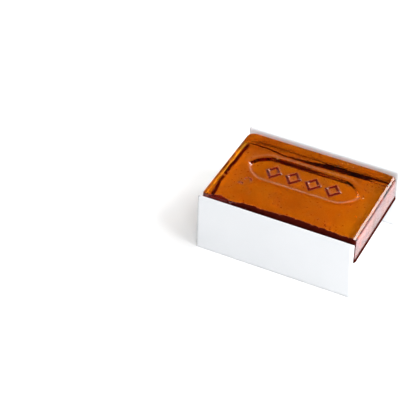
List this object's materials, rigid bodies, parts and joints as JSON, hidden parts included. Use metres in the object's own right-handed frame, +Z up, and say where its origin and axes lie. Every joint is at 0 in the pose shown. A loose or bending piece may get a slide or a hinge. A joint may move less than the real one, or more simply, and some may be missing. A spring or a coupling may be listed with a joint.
{
  "type": "violin rosin cake",
  "caption": "Rectangular amber violin rosin cake with a sunk panel, resting on a folded white card cradle with a raised shelf.",
  "frame": {"origin": "on the table, in the middle of the part's footprint, straight under the middle of the rosin cake", "axes": "+X along the cake from its left end to its right end, +Y from the front wall to the back wall, +Z up"},
  "size_m": [0.0516, 0.0382, 0.0214],
  "materials": {
    "amber_rosin": "gloss",
    "white_card": "matte"
  },
  "bodies": {
    "shelf": {"shelf": "white_card"},
    "front_inner": {"front_inner_wall": "white_card", "front_top_fold": "white_card"},
    "front_outer": {"front_outer_wall": "white_card"},
    "back_inner": {"back_inner_wall": "white_card", "back_top_fold": "white_card"},
    "back_outer": {"back_outer_wall": "white_card"},
    "cake": {"rosin_cake": "amber_rosin"}
  },
  "joints": [
    {"name": "cake_lift", "type": "slide", "parent": "shelf", "child": "cake", "axis": [0, 0, 1], "range_m": [0, 0.03]},
    {"name": "front_shelf_crease", "type": "hinge", "parent": "shelf", "child": "front_inner", "pos_m": [0, -0.01833, 0.01222], "axis": [1, 0, 0], "range_deg": [0, 90]},
    {"name": "front_top_crease", "type": "hinge", "parent": "front_inner", "child": "front_outer", "pos_m": [0, -0.0186, 0.01995], "axis": [-1, 0, 0], "range_deg": [0, 175]},
    {"name": "back_shelf_crease", "type": "hinge", "parent": "shelf", "child": "back_inner", "pos_m": [0, 0.01833, 0.01222], "axis": [-1, 0, 0], "range_deg": [0, 90]},
    {"name": "back_top_crease", "type": "hinge", "parent": "back_inner", "child": "back_outer", "pos_m": [0, 0.0186, 0.02095], "axis": [1, 0, 0], "range_deg": [0, 175]}
  ]
}
